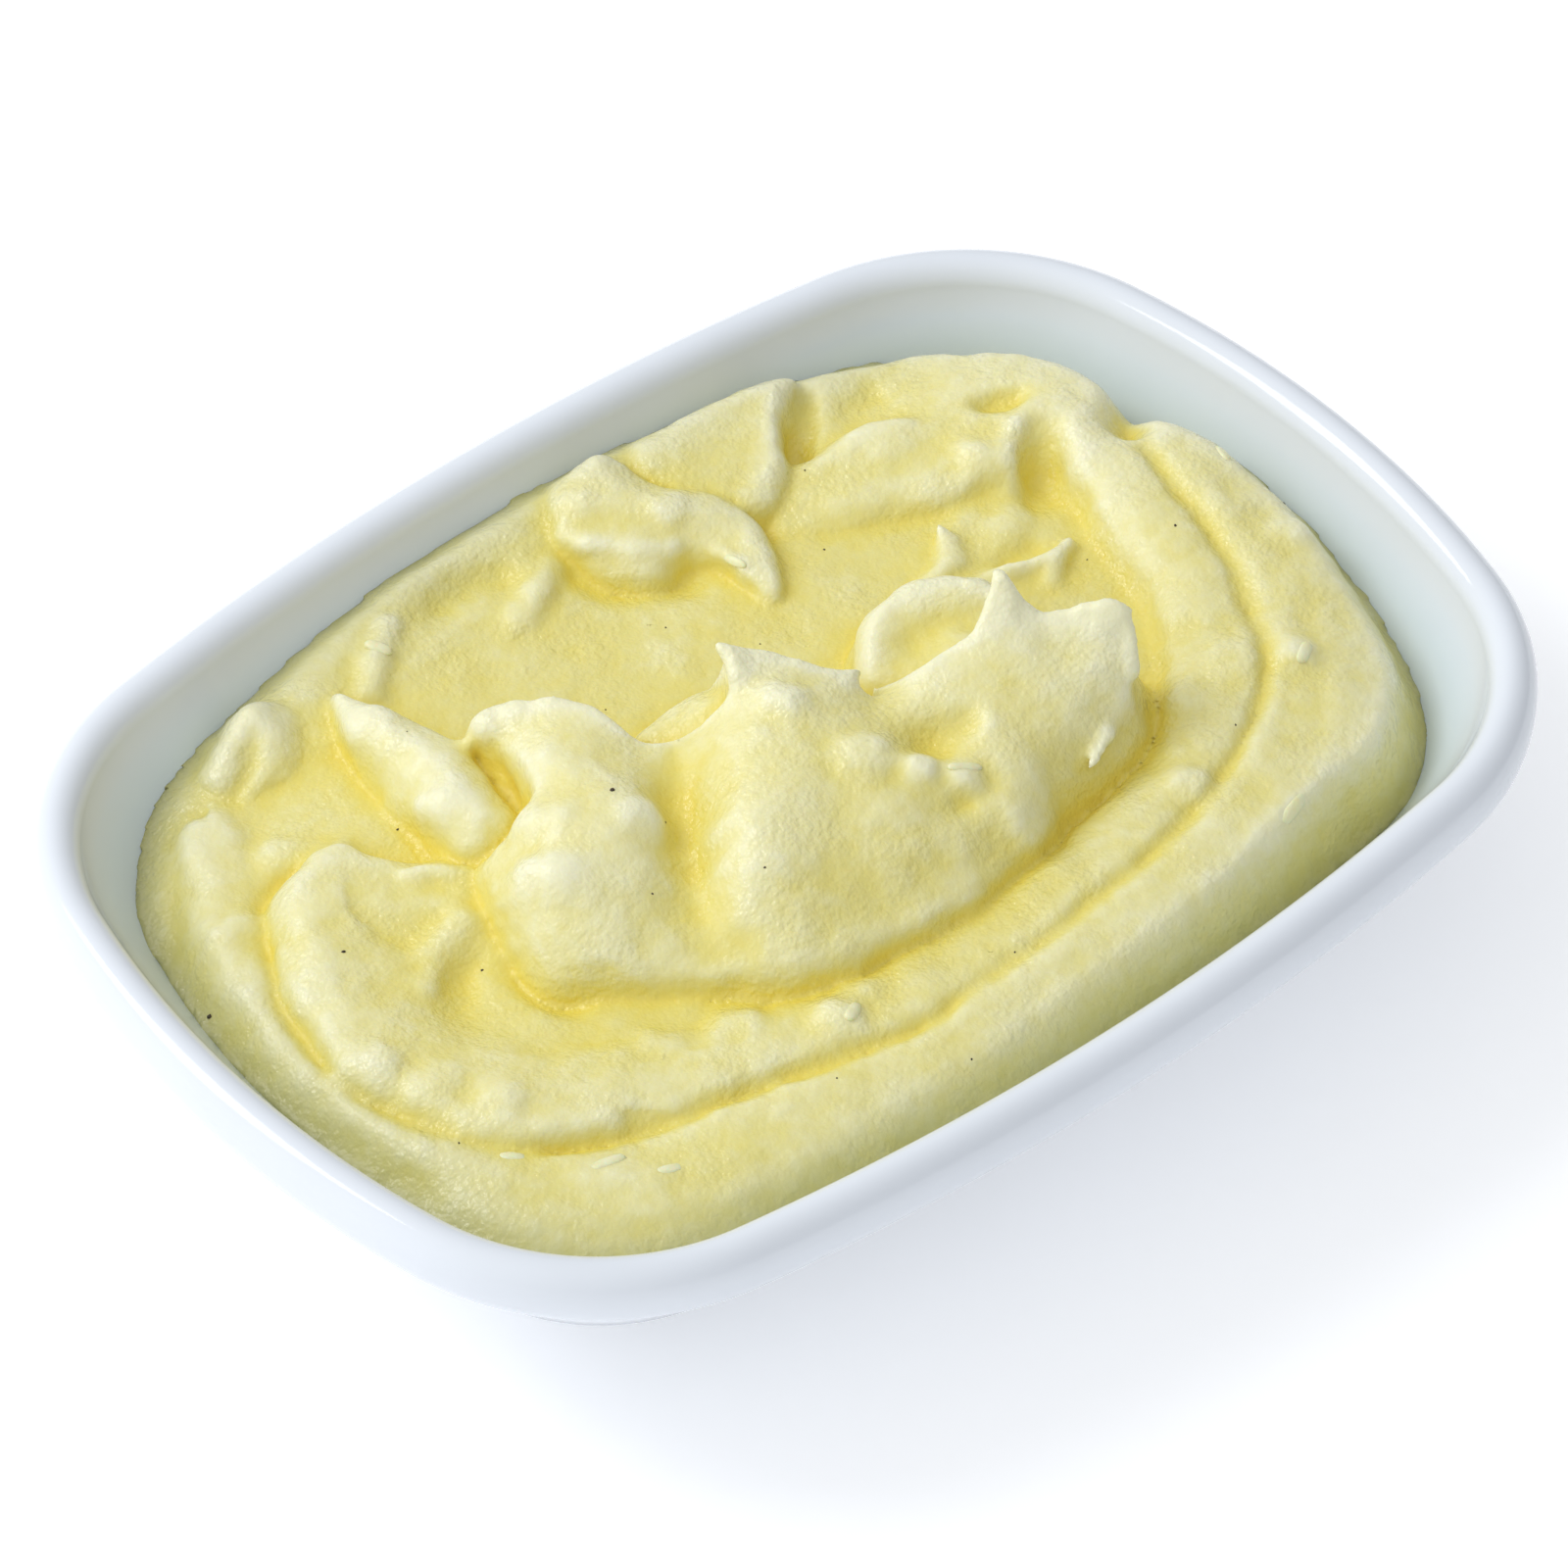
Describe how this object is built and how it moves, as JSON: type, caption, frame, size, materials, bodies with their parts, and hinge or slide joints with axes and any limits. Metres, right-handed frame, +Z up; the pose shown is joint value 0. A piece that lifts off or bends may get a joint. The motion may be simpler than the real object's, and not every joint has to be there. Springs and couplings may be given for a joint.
{
  "type": "mashed potato side dish",
  "caption": "Oblong white glazed dish with rounded corners and a rolled rim, filled with swirled, folded mashed potato heaped in the middle.",
  "frame": {"origin": "on the ground, at the bottom centre of the part's box, which is the middle of the dish's foot", "axes": "+Z up; +X along the dish's long side; +Y across it, towards the side where the mash is banked highest against the wall"},
  "size_m": [0.16, 0.1164, 0.041],
  "materials": {
    "porcelain": "glossy white glaze",
    "mash": null
  },
  "bodies": {
    "root": {"dish": "porcelain", "mash": "mash"}
  },
  "joints": []
}
